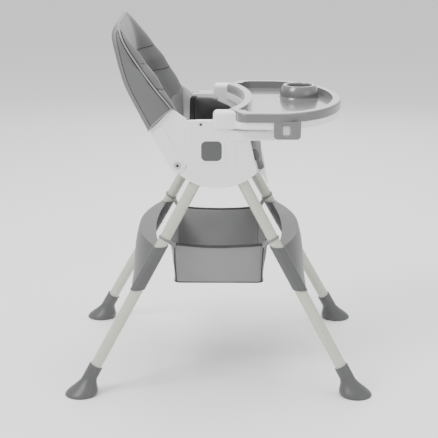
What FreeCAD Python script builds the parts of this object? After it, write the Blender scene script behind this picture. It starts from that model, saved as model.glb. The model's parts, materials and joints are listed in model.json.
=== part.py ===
import FreeCAD, Part
import math
import os

# Baby high chair. Millimetres, +X is the way the child faces, +Y the child's left, +Z up.
# The origin is on the floor, in the middle of the four feet.

V = FreeCAD.Vector
SIDES = (("left", 1), ("right", -1))
CORNERS = (("front_left", 1, 1), ("front_right", 1, -1), ("rear_left", -1, 1), ("rear_right", -1, -1))

# ---- driving dimensions ----
GAP = 0.3                 # between pieces of different bodies
FIT = 0.1                 # radial play of a tube in its socket

FOOT_X, FOOT_Y = 362.0, 299.0        # centre of a foot on the floor
SPLAY_X, SPLAY_Y = 0.547, 0.171      # how far a leg leans inwards for each mm of height
TUBE_D, TUBE_WALL = 29.5, 1.4
LEG_TOP_Z = 592.0
FOOT_R, FOOT_COLLAR_D = 41.6, 36.6
FOOT_COLLAR_Z, FOOT_BORE_Z = 75.0, 15.0

BRACE_TOP_Z, BRACE_H = 386.0, 111.0
BRACE_WALL, SLEEVE_WALL = 3.0, 2.3
BRACE_BOW_TOP, BRACE_BOW_MID, BRACE_BOW_LOW = 219.0, 231.0, 232.0
BRACE_FLANGE_X, BRACE_FLANGE_Y = 173.0, 217.0
TUBE_JOINT_Z = 344.0                 # where upper and lower leg tubes meet
SNAP_Z = {"upper": 360.0, "lower": 328.0}
SNAP_D, SNAP_OUT = 6.0, 4.3
SNAP_TOWARD = (0.8, 0.6)             # the buttons point at the basket

ARC_X, ARC_Z, ARC_R = -5.0, 685.0, 147.0    # round underside of the seat
PIVOT_X, PIVOT_Z, PIVOT_R = -107.0, 597.0, 21.0
PIVOT_BOLT_D = 9.0
SHELL_IN, SHELL_OUT = 196.0, 211.0          # side walls of the seat shell, half-widths
SHELL_WALL = 4.0
WING_T, WING_FIT = 7.0, 0.6                  # backrest wing outside each side wall
WING_IN = SHELL_OUT + WING_FIT
WING_OUT = WING_IN + WING_T
PANEL_IN, PANEL_OUT = 219.0, 224.0          # cover plate outside the backrest wing
DECK_Z, DECK_X = 586.0, 94.0           # flat deck under the cushion and its front edge
SEAT_TOP_Z = 612.0
ARM_Z, ARM_SLOPE_X = 716.0, -16.0
SEAM_X = -84.0
SCREW_X, SCREW_Z, SCREW_R, SHANK_R = -47.0, 705.0, 4.8, 2.5
FRONT_LOW, FRONT_HIGH = (98.0, 582.0), (77.0, 671.0)
APRON_HALF, APRON_WALL, FLAP_HALF = 178.0, 3.5, 170.0

RAIL_X0, RAIL_X1, RAIL_Z0, RAIL_Z1, RAIL_OUT = 26.0, 142.0, 664.0, 690.0, 228.0
GROOVE_DEPTH, GROOVE_Z0, GROOVE_Z1 = 5.0, 673.0, 681.0

BUTTON_X, BUTTON_Z, BUTTON_W, BUTTON_H, BUTTON_R = -19.7, 636.5, 52.0, 51.0, 12.0
BUTTON_PROUD, BUTTON_TRAVEL = 2.5, 5.0

TRAY_HALF_W, TRAY_CENTRE_X, TRAY_FRONT_X = 265.0, 140.0, 327.0
TRAY_TIP_X, TRAY_BELLY_Y, TRAY_BELLY_X, TRAY_CUT_X = 45.0, 190.0, 22.0, 66.0
TRAY_Z0, TRAY_Z1, TRAY_FLOOR_Z, TRAY_RIM = 718.0, 741.0, 722.0, 22.0
CUP_X, CUP_Y, CUP_R, CUP_RING_R, CUP_TOP_Z = 221.0, 93.0, 35.0, 55.0, 756.0
BASE_Z0, BASE_WALL, BASE_INSET = 700.0, 3.0, 4.0
TAB_X0, TAB_X1, TAB_Z, TAB_T = 137.0, 205.0, 675.0, 4.0
LATCH_X, LATCH_Z, LATCH_W, LATCH_H = 168.5, 697.0, 21.0, 26.0
LATCH_TRAVEL = 3.0
BLOCK_X0, BLOCK_X1, BLOCK_Z0, BLOCK_Z1, BLOCK_OUT = -16.0, 52.0, 693.0, 740.0, 232.0

COVER_W, COVER_TOP_W, COVER_TOP_Z = 223.0, 196.0, 948.0
COVER_NARROW_Z, COVER_ROUND = 778.0, 42.0   # straight sides up to here, then the corner radius
BOLSTER_IN = 172.0
BACK_PAD = 34.0

BASKET_Z0, BASKET_Z1, BASKET_WALL = 262.0, 379.0, 3.0
BASKET_TOP, BASKET_LOW = (122.0, 190.0, 140.0), (118.0, 160.0, 128.0)   # corner x, corner y, bulge x

STRAP_W, STRAP_T = 38.0, 2.2
SHOULDER_Y = 70.0                    # shoulder straps leave the cover this far from its middle


# ---- helpers ----
def xz(p):
    return V(p[0], 0, p[1])


def yz(p):
    return V(0, p[0], p[1])


def xy(p):
    return V(p[0], p[1], 0)


def face(plane, start, *steps):
    """A closed face. A step is a point for a straight run, or (mid, end) for an arc through mid."""
    edges, here = [], plane(start)
    for step in steps + (start,):
        if isinstance(step[0], tuple):
            mid, end = plane(step[0]), plane(step[1])
            edges.append(Part.Arc(here, mid, end).toShape())
        else:
            end = plane(step)
            if (end - here).Length < 1e-6:
                continue
            edges.append(Part.LineSegment(here, end).toShape())
        here = end
    return Part.Face(Part.Wire(edges))


def prism_y(profile, y0, y1):
    flat = profile.copy()
    flat.translate(V(0, y0, 0))
    return flat.extrude(V(0, y1 - y0, 0))


def side_prism(profile, inner, outer, sy):
    """A plate between two half-widths on one side of the chair."""
    return prism_y(profile, min(sy * inner, sy * outer), max(sy * inner, sy * outer))


def prism_z(profile, z0, z1):
    flat = profile.copy()
    flat.translate(V(0, 0, z0))
    return flat.extrude(V(0, 0, z1 - z0))


def box(x0, x1, y0, y1, z0, z1):
    return Part.makeBox(abs(x1 - x0), abs(y1 - y0), abs(z1 - z0), V(min(x0, x1), min(y0, y1), min(z0, z1)))


def rounded_rect(plane, cx, cz, w, h, r):
    """A rounded rectangle in the named plane, as a face."""
    k = r * (1 - math.sqrt(0.5))
    x0, x1, z0, z1 = cx - w / 2, cx + w / 2, cz - h / 2, cz + h / 2
    return face(plane, (x0 + r, z0), (x1 - r, z0), ((x1 - k, z0 + k), (x1, z0 + r)),
                (x1, z1 - r), ((x1 - k, z1 - k), (x1 - r, z1)), (x0 + r, z1),
                ((x0 + k, z1 - k), (x0, z1 - r)), (x0, z0 + r), ((x0 + k, z0 + k), (x0 + r, z0)))


def rod_y(x, z, radius, y0, y1):
    return Part.makeCylinder(radius, abs(y1 - y0), V(x, min(y0, y1), z), V(0, 1, 0))


def joined(shapes):
    whole = shapes[0].fuse(list(shapes[1:])) if len(shapes) > 1 else shapes[0]
    return whole.removeSplitter()


def rounded(shape, radius, chosen):
    """The shape with the edges that `chosen` picks rounded."""
    edges = [e for e in shape.Edges if chosen(e)]
    return shape.makeFillet(radius, edges)


def on_plane_y(y):
    return lambda e: all(abs(v.Point.y - y) < 1e-4 for v in e.Vertexes) and len(e.Vertexes) == 2


def arc_point(x, inset=0.0):
    """A point of the seat's round underside, `inset` inside it."""
    r = ARC_R - inset
    return (x, ARC_Z - math.sqrt(r * r - (x - ARC_X) ** 2))


def shifted(points, dx):
    return [(x + dx, z) for x, z in points]


def between(points, z):
    """The x of a rising polyline at height z."""
    for (x0, z0), (x1, z1) in zip(points, points[1:]):
        if z0 <= z <= z1:
            return x0 + (x1 - x0) * (z - z0) / (z1 - z0)
    return points[0][0]


# ---- legs, feet and braces ----
def leg_point(sx, sy, z):
    return V(sx * (FOOT_X - SPLAY_X * z), sy * (FOOT_Y - SPLAY_Y * z), z)


def leg_rod(sx, sy, radius, z0, z1):
    low, high = leg_point(sx, sy, z0), leg_point(sx, sy, z1)
    return Part.makeCylinder(radius, (high - low).Length, low, high - low)


def leg_tube(sx, sy, z0, z1):
    outer = leg_rod(sx, sy, TUBE_D / 2, z0, z1)
    inner = leg_rod(sx, sy, TUBE_D / 2 - TUBE_WALL, z0 - 1, z1 + 1)
    return outer.cut(inner)


def snap_axis(sx, sy):
    """The direction that a snap button points in, square to its leg."""
    along = (leg_point(sx, sy, 1) - leg_point(sx, sy, 0)).normalize()
    toward = V(-sx * SNAP_TOWARD[0], -sy * SNAP_TOWARD[1], 0)
    return (toward - along * toward.dot(along)).normalize()


def snap_hole(sx, sy, z):
    return Part.makeCylinder(SNAP_D / 2 + 0.25, TUBE_D, leg_point(sx, sy, z), snap_axis(sx, sy))


def snap_button(sx, sy, z):
    """A domed pin on a flange and the end of its leaf spring, inside the leg tube."""
    centre, out = leg_point(sx, sy, z), snap_axis(sx, sy)
    along = (leg_point(sx, sy, z + 1) - centre).normalize()
    tip = TUBE_D / 2 + FIT + SLEEVE_WALL + SNAP_OUT
    flange_r, flange_t, leaf_w, leaf_t, leaf_l = 4.4, 1.0, 6.0, 0.9, 20.0
    under_wall = math.sqrt((TUBE_D / 2 - TUBE_WALL) ** 2 - flange_r ** 2) - GAP
    seat = centre + out * (under_wall - flange_t)
    shank = Part.makeCylinder(SNAP_D / 2, tip - SNAP_D / 2 - under_wall + flange_t, seat, out)
    dome = Part.makeSphere(SNAP_D / 2, centre + out * (tip - SNAP_D / 2))
    flange = Part.makeCylinder(flange_r, flange_t, seat, out)
    leaf = Part.makeBox(leaf_l, leaf_w, leaf_t, V(-leaf_l / 2, -leaf_w / 2, -leaf_t))
    across = out.cross(along)
    turn = FreeCAD.Rotation(along, across, out, "ZXY")
    leaf.Placement = FreeCAD.Placement(seat, turn)
    return joined([shank, dome, flange, leaf])


def foot(sx, sy):
    rings = []
    for z, r in ((0, FOOT_R - 1.6), (2.5, FOOT_R), (7, FOOT_R - 0.4), (16, FOOT_R * 0.87),
                 (30, FOOT_R * 0.63), (46, FOOT_COLLAR_D / 2 + 1.2), (56, FOOT_COLLAR_D / 2 - 0.8)):
        rings.append(Part.Wire(Part.makeCircle(r, leg_point(sx, sy, z))))
    bell = Part.makeLoft(rings, True, False)
    collar = leg_rod(sx, sy, FOOT_COLLAR_D / 2, 32, FOOT_COLLAR_Z)
    bore = leg_rod(sx, sy, TUBE_D / 2 + FIT, FOOT_BORE_Z, FOOT_COLLAR_Z + 20)
    return joined([bell, collar]).cut(bore)


def brace_wall(sx, z, bow):
    """The section of a brace's curved wall at one height."""
    sleeve_r = TUBE_D / 2 + FIT + SLEEVE_WALL
    end = leg_point(sx, 1, z)
    reach = abs(end.x) + sleeve_r * 0.96
    outer = [V(sx * reach, end.y, z), V(sx * bow, 0, z), V(sx * reach, -end.y, z)]
    inner = [p - V(sx * BRACE_WALL, 0, 0) for p in outer]
    return Part.Wire([Part.Arc(*outer).toShape(), Part.LineSegment(outer[2], inner[2]).toShape(),
                      Part.Arc(*reversed(inner)).toShape(), Part.LineSegment(inner[0], outer[0]).toShape()])


def brace(sx):
    z0, z1 = BRACE_TOP_Z - BRACE_H, BRACE_TOP_Z
    wall = Part.makeLoft([brace_wall(sx, z0, BRACE_BOW_LOW), brace_wall(sx, (z0 + z1) / 2, BRACE_BOW_MID),
                          brace_wall(sx, z1, BRACE_BOW_TOP)], True, False)
    end = leg_point(sx, 1, z1)
    sleeve_r = TUBE_D / 2 + FIT + SLEEVE_WALL
    reach = abs(end.x) + sleeve_r * 0.96
    flange = face(xy, (sx * (reach - 1), end.y), ((sx * (BRACE_BOW_TOP - 1), 0), (sx * (reach - 1), -end.y)),
                  (sx * (BRACE_FLANGE_X - 18), -BRACE_FLANGE_Y),
                  ((sx * BRACE_FLANGE_X, 0), (sx * (BRACE_FLANGE_X - 18), BRACE_FLANGE_Y)))
    pieces = [wall, prism_z(flange, z1 - BRACE_WALL, z1)]
    slab = box(-500, 500, -500, 500, z0, z1)
    for _, sy in SIDES:
        pieces.append(leg_rod(sx, sy, sleeve_r, z0 - 40, z1 + 40).common(slab))
    whole = joined(pieces)
    for _, sy in SIDES:
        whole = whole.cut(leg_rod(sx, sy, TUBE_D / 2 + FIT, z0 - 60, z1 + 60))
        for z in SNAP_Z.values():
            whole = whole.cut(snap_hole(sx, sy, z))
    return whole


# ---- seat ----
def seat_outline(rear_x=SEAM_X, top=ARM_Z):
    """Side view of the seat in front of the seam, without the rail."""
    low_front = arc_point(FRONT_LOW[0])
    rear_low = arc_point(rear_x)
    return face(xz, (rear_x, top), rear_low, (arc_point((rear_x + low_front[0]) / 2), low_front),
                FRONT_HIGH, (FRONT_HIGH[0] - 3, RAIL_Z1), (40, RAIL_Z1), (ARM_SLOPE_X, top))


def leg_bores():
    bores = []
    for _, sx, sy in CORNERS:
        bores.append(leg_rod(sx, sy, TUBE_D / 2 + FIT, 480, LEG_TOP_Z))
    return bores


def button_well(sy, extra):
    shape = rounded_rect(xz, BUTTON_X, BUTTON_Z, BUTTON_W + 2 * extra, BUTTON_H + 2 * extra, BUTTON_R + extra)
    return side_prism(shape, SHELL_IN - 1, PANEL_OUT + 10, sy)


def seat_shell():
    """Closed round underside with a flat deck, two side walls, pivot ears and four leg sockets."""
    low, high = arc_point(DECK_X), arc_point(-97.0)
    outer = face(xz, (high[0], DECK_Z), high, (arc_point(ARC_X), low), (DECK_X, DECK_Z))
    in_low, in_high = arc_point(DECK_X - SHELL_WALL, SHELL_WALL), arc_point(-92.0, SHELL_WALL)
    inner = face(xz, (in_high[0], DECK_Z - SHELL_WALL), in_high, (arc_point(ARC_X, SHELL_WALL), in_low),
                 (in_low[0], DECK_Z - SHELL_WALL))
    pan = prism_y(outer, -SHELL_IN - 1, SHELL_IN + 1).cut(prism_y(inner, -SHELL_IN + 3, SHELL_IN - 3))
    pieces = [pan]
    walls = seat_outline(rear_x=-74.0, top=ARM_Z - 4)
    for _, sy in SIDES:
        wall = side_prism(walls, SHELL_IN, SHELL_OUT, sy)
        wall = wall.cut(box(RAIL_X0 - GAP, 200, -300, 300, RAIL_Z0 - GAP, 800))
        ear = face(xz, (PIVOT_X, PIVOT_Z + 15), (PIVOT_X, PIVOT_Z - 15), arc_point(-80.0),
                   arc_point(-70.0), (-70.0, 660.0))
        pieces += [wall, side_prism(ear, SHELL_IN, SHELL_OUT, sy),
                   rod_y(PIVOT_X, PIVOT_Z, 15, sy * SHELL_IN, sy * SHELL_OUT)]
    shape = prism_y(seat_outline(rear_x=-74.0, top=ARM_Z - 4), -SHELL_OUT, SHELL_OUT)
    for _, sx, sy in CORNERS:
        pieces.append(leg_rod(sx, sy, TUBE_D / 2 + FIT + SLEEVE_WALL + 1.5, 500, LEG_TOP_Z + 5).common(shape))
    whole = joined(pieces)
    slot = box(54, 64, -22, 22, DECK_Z - 20, DECK_Z + 1)
    tools = leg_bores() + [slot]
    for _, sy in SIDES:
        tools += [button_well(sy, 0.4),
                  rod_y(PIVOT_X, PIVOT_Z, PIVOT_BOLT_D / 2, -SHELL_OUT - 1, SHELL_OUT + 1)]
    return whole.cut(tools)


def side_panel(sy):
    """The white outer cover of one side, with its arm rail for the tray."""
    low_front = arc_point(FRONT_LOW[0])
    rear_low = arc_point(-100.0)
    cut_r = PIVOT_R + 2.4
    outline = face(xz, (SEAM_X, ARM_Z), (SEAM_X, rear_low[1] - 30), (low_front[0], rear_low[1] - 30),
                   low_front, FRONT_HIGH, (FRONT_HIGH[0] - 3, RAIL_Z1), (40, RAIL_Z1), (ARM_SLOPE_X, ARM_Z))
    disc = rod_y(ARC_X, ARC_Z, ARC_R, sy * PANEL_IN, sy * PANEL_OUT)
    tail = box(rear_low[0] - 6, SEAM_X + 1, sy * PANEL_IN, sy * PANEL_OUT, ARC_Z - ARC_R, PIVOT_Z)
    plate = side_prism(outline, PANEL_IN, PANEL_OUT, sy).common(
        box(-200, 200, -300, 300, ARC_Z, 800).fuse(disc))
    plate = plate.fuse(tail.common(disc))
    plate = plate.cut(rod_y(PIVOT_X, PIVOT_Z, cut_r, -300, 300)).removeSplitter()
    plate = rounded(plate, 3.0, on_plane_y(sy * PANEL_OUT))
    block = side_prism(seat_outline(rear_x=-58.0), SHELL_OUT + GAP, PANEL_IN, sy)
    rail = box(RAIL_X0, RAIL_X1, sy * SHELL_IN, sy * RAIL_OUT, RAIL_Z0, RAIL_Z1)
    rail = rounded(rail, 5.0, lambda e: abs(e.BoundBox.XMin - e.BoundBox.XMax) > 50
                   and abs(abs(e.BoundBox.YMin) - RAIL_OUT) < 1e-3)
    band_in = rod_y(ARC_X, ARC_Z, ARC_R - 20, -300, 300)
    band = rod_y(ARC_X, ARC_Z, ARC_R - 1.5, sy * (PANEL_OUT - 1), sy * (PANEL_OUT + 1.6)).cut(band_in)
    keep = face(xz, (-88, 500), (-88, 576), (FRONT_LOW[0] - 4, 600), (FRONT_LOW[0] - 4, 500))
    band = band.common(prism_y(keep, -300, 300))
    ring = rounded_rect(xz, BUTTON_X, BUTTON_Z, BUTTON_W + 15, BUTTON_H + 15, BUTTON_R + 7)
    ring = side_prism(ring, PANEL_OUT - 1, PANEL_OUT + 1.6, sy)
    ring = ring.cut(box(-100, 100, -300, 300, 500, BUTTON_Z - BUTTON_H / 2 - 3))
    whole = joined([plate, block, rail, band, ring])
    groove = box(RAIL_X0 - 1, RAIL_X1 + 1, sy * (SHELL_IN - 1), sy * (SHELL_IN + GROOVE_DEPTH), GROOVE_Z0, GROOVE_Z1)
    crease = box(41.4, 42.6, sy * (PANEL_OUT - 0.8), sy * (PANEL_OUT + 2), 590, 660)
    screw = rod_y(SCREW_X, SCREW_Z, SHANK_R + 0.1, sy * SHELL_OUT, sy * (PANEL_OUT + 1))
    sink = rod_y(SCREW_X, SCREW_Z, SCREW_R + 0.2, sy * (PANEL_OUT - 2), sy * (PANEL_OUT + 1))
    return whole.cut(leg_bores() + [groove, crease, screw, sink, button_well(sy, 0.4)])


def apron_line():
    """Side view of the apron's front face, from the top down."""
    return [(96.0, 600.0), (102.0, 572.0), (120.0, 562.0), (127.0, 541.0)]


def front_apron():
    """The white lip in front of the seat, under the calf flap."""
    half, wall = APRON_HALF, APRON_WALL
    outer = apron_line()
    inner = [(x - wall, z - (wall if i == 2 else 0)) for i, (x, z) in enumerate(outer)]
    profile = face(xz, outer[0], *(outer[1:] + inner[::-1]))
    bracket = box(DECK_X - 6, 100, -half, half, DECK_Z - 9, DECK_Z - 5).cut(rod_y(ARC_X, ARC_Z, ARC_R, -300, 300))
    return joined([prism_y(profile, -half, half), bracket])


def recline_button(sy):
    body = rounded_rect(xz, BUTTON_X, BUTTON_Z, BUTTON_W, BUTTON_H, BUTTON_R)
    proud = PANEL_OUT + BUTTON_PROUD
    cap = side_prism(body, proud - 14, proud, sy)
    cap = rounded(cap, 2.0, on_plane_y(sy * proud))
    stem = rod_y(BUTTON_X, BUTTON_Z, 9, sy * (SHELL_IN + BUTTON_TRAVEL + 1), sy * (proud - 13))
    return joined([cap, stem])


def screws():
    """One countersunk screw in each side panel."""
    heads = []
    for _, sy in SIDES:
        head = rod_y(SCREW_X, SCREW_Z, SCREW_R, sy * (PANEL_OUT - 2), sy * (PANEL_OUT - 0.3))
        shank = rod_y(SCREW_X, SCREW_Z, SHANK_R, sy * (SHELL_OUT + GAP), sy * (PANEL_OUT - 1))
        slot = cross_slot(SCREW_X, SCREW_Z, sy * (PANEL_OUT - 0.3), 2.6)
        heads.append(joined([head, shank]).cut(slot))
    return Part.makeCompound(heads)


def cross_slot(x, z, y, half):
    arm = 0.5
    return joined([box(x - half, x + half, y - 0.8, y + 0.8, z - arm, z + arm),
                   box(x - arm, x + arm, y - 0.8, y + 0.8, z - half, z + half)])


def pivot_bolts():
    bolts = []
    for _, sy in SIDES:
        shank = rod_y(PIVOT_X, PIVOT_Z, PIVOT_BOLT_D / 2 - 0.05, sy * (SHELL_IN - 1), sy * (WING_OUT + GAP))
        head = rod_y(PIVOT_X, PIVOT_Z, 8.6, sy * (WING_OUT + GAP), sy * (WING_OUT + 3.4))
        nut = rod_y(PIVOT_X, PIVOT_Z, 7.5, sy * (SHELL_IN - 5), sy * SHELL_IN)
        bolts.append(joined([shank, head, nut]).cut(cross_slot(PIVOT_X, PIVOT_Z, sy * (WING_OUT + 3.4), 4.2)))
    return Part.makeCompound(bolts)


def seat_cushion():
    """Seat pad with a raised bolster along each arm."""
    half, top = 176.0, SEAT_TOP_Z
    pad = box(-91, 79.7, -half, half, DECK_Z, top)
    pad = rounded(pad, 9.0, lambda e: abs(e.BoundBox.ZMin - top) < 1e-4)
    pieces = [pad]
    side = face(xz, (-70, 606), (76, 606), (70, 655), (30, 684), (-18, 706), (-70, 706))
    for _, sy in SIDES:
        bolster = side_prism(side, BOLSTER_IN - 4, SHELL_IN - 7, sy)
        pieces.append(rounded(bolster, 6.0, on_plane_y(sy * (BOLSTER_IN - 4))))
    return joined(pieces).cut(box(54, 64, -22, 22, DECK_Z - 1, top + 1))


def calf_flap():
    """Padded flap that rolls over the front of the seat and hangs down the apron."""
    back = [(102.0, 572.0), (96.0, 600.0)]
    profile = face(xz, (80.0, DECK_Z), (80.0, 621.0), ((86.0, 631.0), (97.0, 631.0)), ((104.0, 622.0), (108.0, 600.0)),
                   (115.0, 577.0), ((113.5, 571.5), (107.5, 571.0)), back[0], back[1], (92.5, 600.0),
                   (92.5, DECK_Z))
    return prism_y(profile, -FLAP_HALF, FLAP_HALF)


# ---- backrest ----
REAR_LINE = [(-182.0, 686.0), (-232.0, 780.0), (-253.0, 837.0), (-269.0, 903.0), (-273.0, 940.0)]
FRONT_LINE = [(-121.0, 743.0), (-126.0, 750.0), (-164.0, 796.0), (-202.0, 847.0), (-239.0, 903.0), (-256.0, 944.0)]
PAD_LINE = [(-96.0, 616.0), (-133.0, 672.0)] + [(x + BACK_PAD, z - 14) for x, z in REAR_LINE[1:]]
BOLSTER_LINE = [(-106.0, 724.0), (-119.0, 755.0), (-139.0, 793.0), (-167.0, 835.0), (-214.0, 896.0), (-252.0, 944.0)]


def back_outline(inset):
    """Front view of the backrest, as a block right through it."""
    w, tw, top = COVER_W - inset, COVER_TOP_W - inset, COVER_TOP_Z - inset
    r = COVER_ROUND
    k = r * (1 - math.sqrt(0.5))
    outline = face(yz, (-w, 560), (-w, COVER_NARROW_Z), (-tw, top - r), ((-tw + k, top - k), (-tw + r, top)),
                   (tw - r, top), ((tw - k, top - k), (tw, top - r)), (w, COVER_NARROW_Z), (w, 560))
    outline.translate(V(-400, 0, 0))
    return outline.extrude(V(500, 0, 0))


def wing_face(grow=0.0):
    g = grow
    return face(xz, (PIVOT_X - 15 - g, PIVOT_Z - 9 - g), ((PIVOT_X, PIVOT_Z - PIVOT_R - g),
                (PIVOT_X + PIVOT_R + g, PIVOT_Z)), (-72 + g, 618), (-72 + g, 700 + g), (-84, 718 + g), (-121, 744 + g),
                (-139 + g, 748 + g), (-150 + g, 772 + g), (-214 - g, 772 + g), (-172 - g, 680), (-171 - g, 675))


def back_plate_face(grow=0.0):
    """The rear plate of the backrest shell, following the rear line from inside."""
    g = grow
    lower = [(-137.0, 624.0), (-171.0, 675.5), (-173.0, 690.0)]
    upper = [(x + 9.0, z) for x, z in REAR_LINE[1:4]]
    rear = [(x - g, z - (g if i == 0 else 0)) for i, (x, z) in enumerate(lower + upper)]
    front = [(x + 5.0 + g, z + (g if i == 0 else 0)) for i, (x, z) in enumerate(reversed(lower + upper))]
    return face(xz, rear[0], *(rear[1:] + front))


def backrest_shell():
    plate = prism_y(back_plate_face(), -WING_IN - 1, WING_IN + 1).common(back_outline(9))
    pieces = [plate]
    for _, sy in SIDES:
        band = face(xz, (-112, 578), (-170.5, 675.5), (-174, 682), (-146, 700), (-95, 610), (-92, 590))
        disc = rod_y(PIVOT_X, PIVOT_Z, 11.5, sy * WING_IN, sy * (WING_OUT + 1.5))
        pieces += [side_prism(wing_face(), WING_IN, WING_OUT, sy), disc,
                   side_prism(band, WING_OUT - 1, WING_OUT + 1.5, sy)]
    whole = joined(pieces)
    tools = []
    for _, sy in SIDES:
        tools += [rod_y(PIVOT_X, PIVOT_Z, PIVOT_BOLT_D / 2, sy * (WING_IN - 1), sy * (WING_OUT + 9)),
                  rod_y(PIVOT_X, PIVOT_Z, 9.0, sy * WING_OUT, sy * (WING_OUT + 9))]
    return whole.cut(tools)


def backrest_cover():
    """Padded cover pulled over the backrest shell, with a bolster down each side."""
    hood = face(xz, REAR_LINE[0], *(REAR_LINE[1:] + [(-266, 948), (-258, 948)]
                                    + list(reversed(FRONT_LINE))))
    body = prism_y(hood, -COVER_W, COVER_W)
    pieces = [body]
    bolster = face(xz, BOLSTER_LINE[0], *(BOLSTER_LINE[1:] + [(-262, 944), (-200, 770), (-150, 700), (-128, 704)]))
    for _, sy in SIDES:
        pieces.append(side_prism(bolster, BOLSTER_IN, SHELL_IN + 8, sy))
    back = face(xz, (-131.5, 630), (-166.0, 683), *(shifted(REAR_LINE, 1.0)[1:] + PAD_LINE[:0:-1] + [(-98, 622)]))
    pieces.append(prism_y(back, -SHELL_IN + 2.5, SHELL_IN - 2.5))
    whole = joined(pieces).common(back_outline(0))
    dish = face(xz, (60, 600), *(PAD_LINE + [(-238, 1000), (60, 1000)]))
    whole = whole.cut(prism_y(dish, -BOLSTER_IN, BOLSTER_IN))
    tools = [prism_y(back_plate_face(0.2), -WING_IN - 1, WING_IN + 1)]
    for _, sy in SIDES:
        tools.append(side_prism(wing_face(0.2), WING_IN - 0.2, WING_OUT + 0.2, sy))
    return whole.cut(tools)


def shoulder_strap(sy):
    """Webbing that leaves a slot in the cover and hangs down its face."""
    slot_z, end_z = 852.0, 690.0
    levels = [slot_z] + [z for _, z in reversed(PAD_LINE) if end_z < z < slot_z] + [end_z]
    near = [(between(PAD_LINE, z) + 0.6, z) for z in levels]
    far = [(x + STRAP_T, z) for x, z in reversed(near)]
    y = sy * SHOULDER_Y
    strap = prism_y(face(xz, near[0], *(near[1:] + far)), y - STRAP_W / 2, y + STRAP_W / 2)
    slope = between(PAD_LINE, end_z - 24) - near[-1][0]
    tongue = face(xz, (near[-1][0], end_z), (near[-1][0] + slope, end_z - 24),
                  (near[-1][0] + slope + 5, end_z - 24), (near[-1][0] + 5, end_z))
    return joined([strap, prism_y(tongue, y - 13, y + 13)])


def waist_strap(sy):
    low = SEAT_TOP_Z + GAP
    return joined([box(-30, -30 + STRAP_W, sy * 60, sy * 150, low, low + STRAP_T),
                   box(-24, 2, sy * 36, sy * 60, low, low + 5)])


def crotch_strap():
    """Strap up through the seat, held by a plate under the deck."""
    half = STRAP_W / 2
    return joined([box(57.5, 57.5 + STRAP_T, -half, half, DECK_Z - 6, 640),
                   box(50, 68, -half, half, DECK_Z - SHELL_WALL - 3, DECK_Z - SHELL_WALL)])


def buckle():
    body = rounded_rect(yz, 0, 666, 46, 52, 9)
    body.translate(V(52, 0, 0))
    whole = rounded(body.extrude(V(14, 0, 0)), 3.0, lambda e: abs(e.BoundBox.XMin - 66) < 1e-4 and
                    abs(e.BoundBox.XMax - 66) < 1e-4)
    well = box(59, 70, -11.3, 11.3, 655.7, 676.3)
    return whole.cut([well])


def buckle_button():
    return rounded(box(62.5, 67.5, -11, 11, 656, 676), 1.5, lambda e: abs(e.BoundBox.XMin - 67.5) < 1e-4)


# ---- tray ----
def tray_outline(inset, ahead=0.0):
    """Plan of the tray: straight sides, half-ellipse front, hollow belly cut at the rear."""
    w, front = TRAY_HALF_W - inset, TRAY_FRONT_X - inset
    centre = V(TRAY_CENTRE_X, 0, 0)
    ellipse = Part.Ellipse(V(TRAY_CENTRE_X, w, 0), V(front, 0, 0), centre)
    right, left, nose = V(TRAY_CENTRE_X, -w, 0), V(TRAY_CENTRE_X, w, 0), V(front, 0, 0)
    spans = []
    for a, b in ((right, nose), (nose, left)):
        pa, pb = ellipse.parameter(a), ellipse.parameter(b)
        if (pb - pa) % (2 * math.pi) > math.pi:
            pa, pb = pb, pa
        spans.append(Part.ArcOfEllipse(ellipse, pa, pb if pb > pa else pb + 2 * math.pi).toShape())
    tip = TRAY_TIP_X + ahead + inset
    belly, cut_x = TRAY_BELLY_X + ahead + inset * 1.2, TRAY_CUT_X + ahead + inset
    by = TRAY_BELLY_Y + inset * 0.6 if inset > 10 else TRAY_BELLY_Y
    k = 0.3 * 26
    points = {"side": V(tip + 26, w, 0), "corner": V(tip + k, w - k, 0), "heel": V(tip, w - 26, 0),
              "belly": V(belly, by, 0)}
    flip = {name: V(p.x, -p.y, 0) for name, p in points.items()}
    spans += [Part.LineSegment(left, points["side"]).toShape(),
              Part.Arc(points["side"], points["corner"], points["heel"]).toShape(),
              Part.LineSegment(points["heel"], points["belly"]).toShape(),
              Part.Arc(points["belly"], V(cut_x, 0, 0), flip["belly"]).toShape(),
              Part.LineSegment(flip["belly"], flip["heel"]).toShape(),
              Part.Arc(flip["heel"], flip["corner"], flip["side"]).toShape(),
              Part.LineSegment(flip["side"], right).toShape()]
    return Part.Face(Part.Wire(Part.__sortEdges__(spans)))


def cup_ring():
    profile = face(xz, (CUP_R, TRAY_FLOOR_Z - 2), (CUP_R, CUP_TOP_Z - 4),
                   ((CUP_R + 1.2, CUP_TOP_Z - 1.2), (CUP_R + 4, CUP_TOP_Z)), (CUP_R + 9, CUP_TOP_Z),
                   ((CUP_R + 14, CUP_TOP_Z - 8), (CUP_RING_R - 2, TRAY_FLOOR_Z + 4)),
                   (CUP_RING_R, TRAY_FLOOR_Z), (CUP_RING_R, TRAY_FLOOR_Z - 2))
    ring = profile.revolve(V(0, 0, 0), V(0, 0, 1), 360)
    ring.translate(V(CUP_X, CUP_Y, 0))
    return ring


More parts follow.
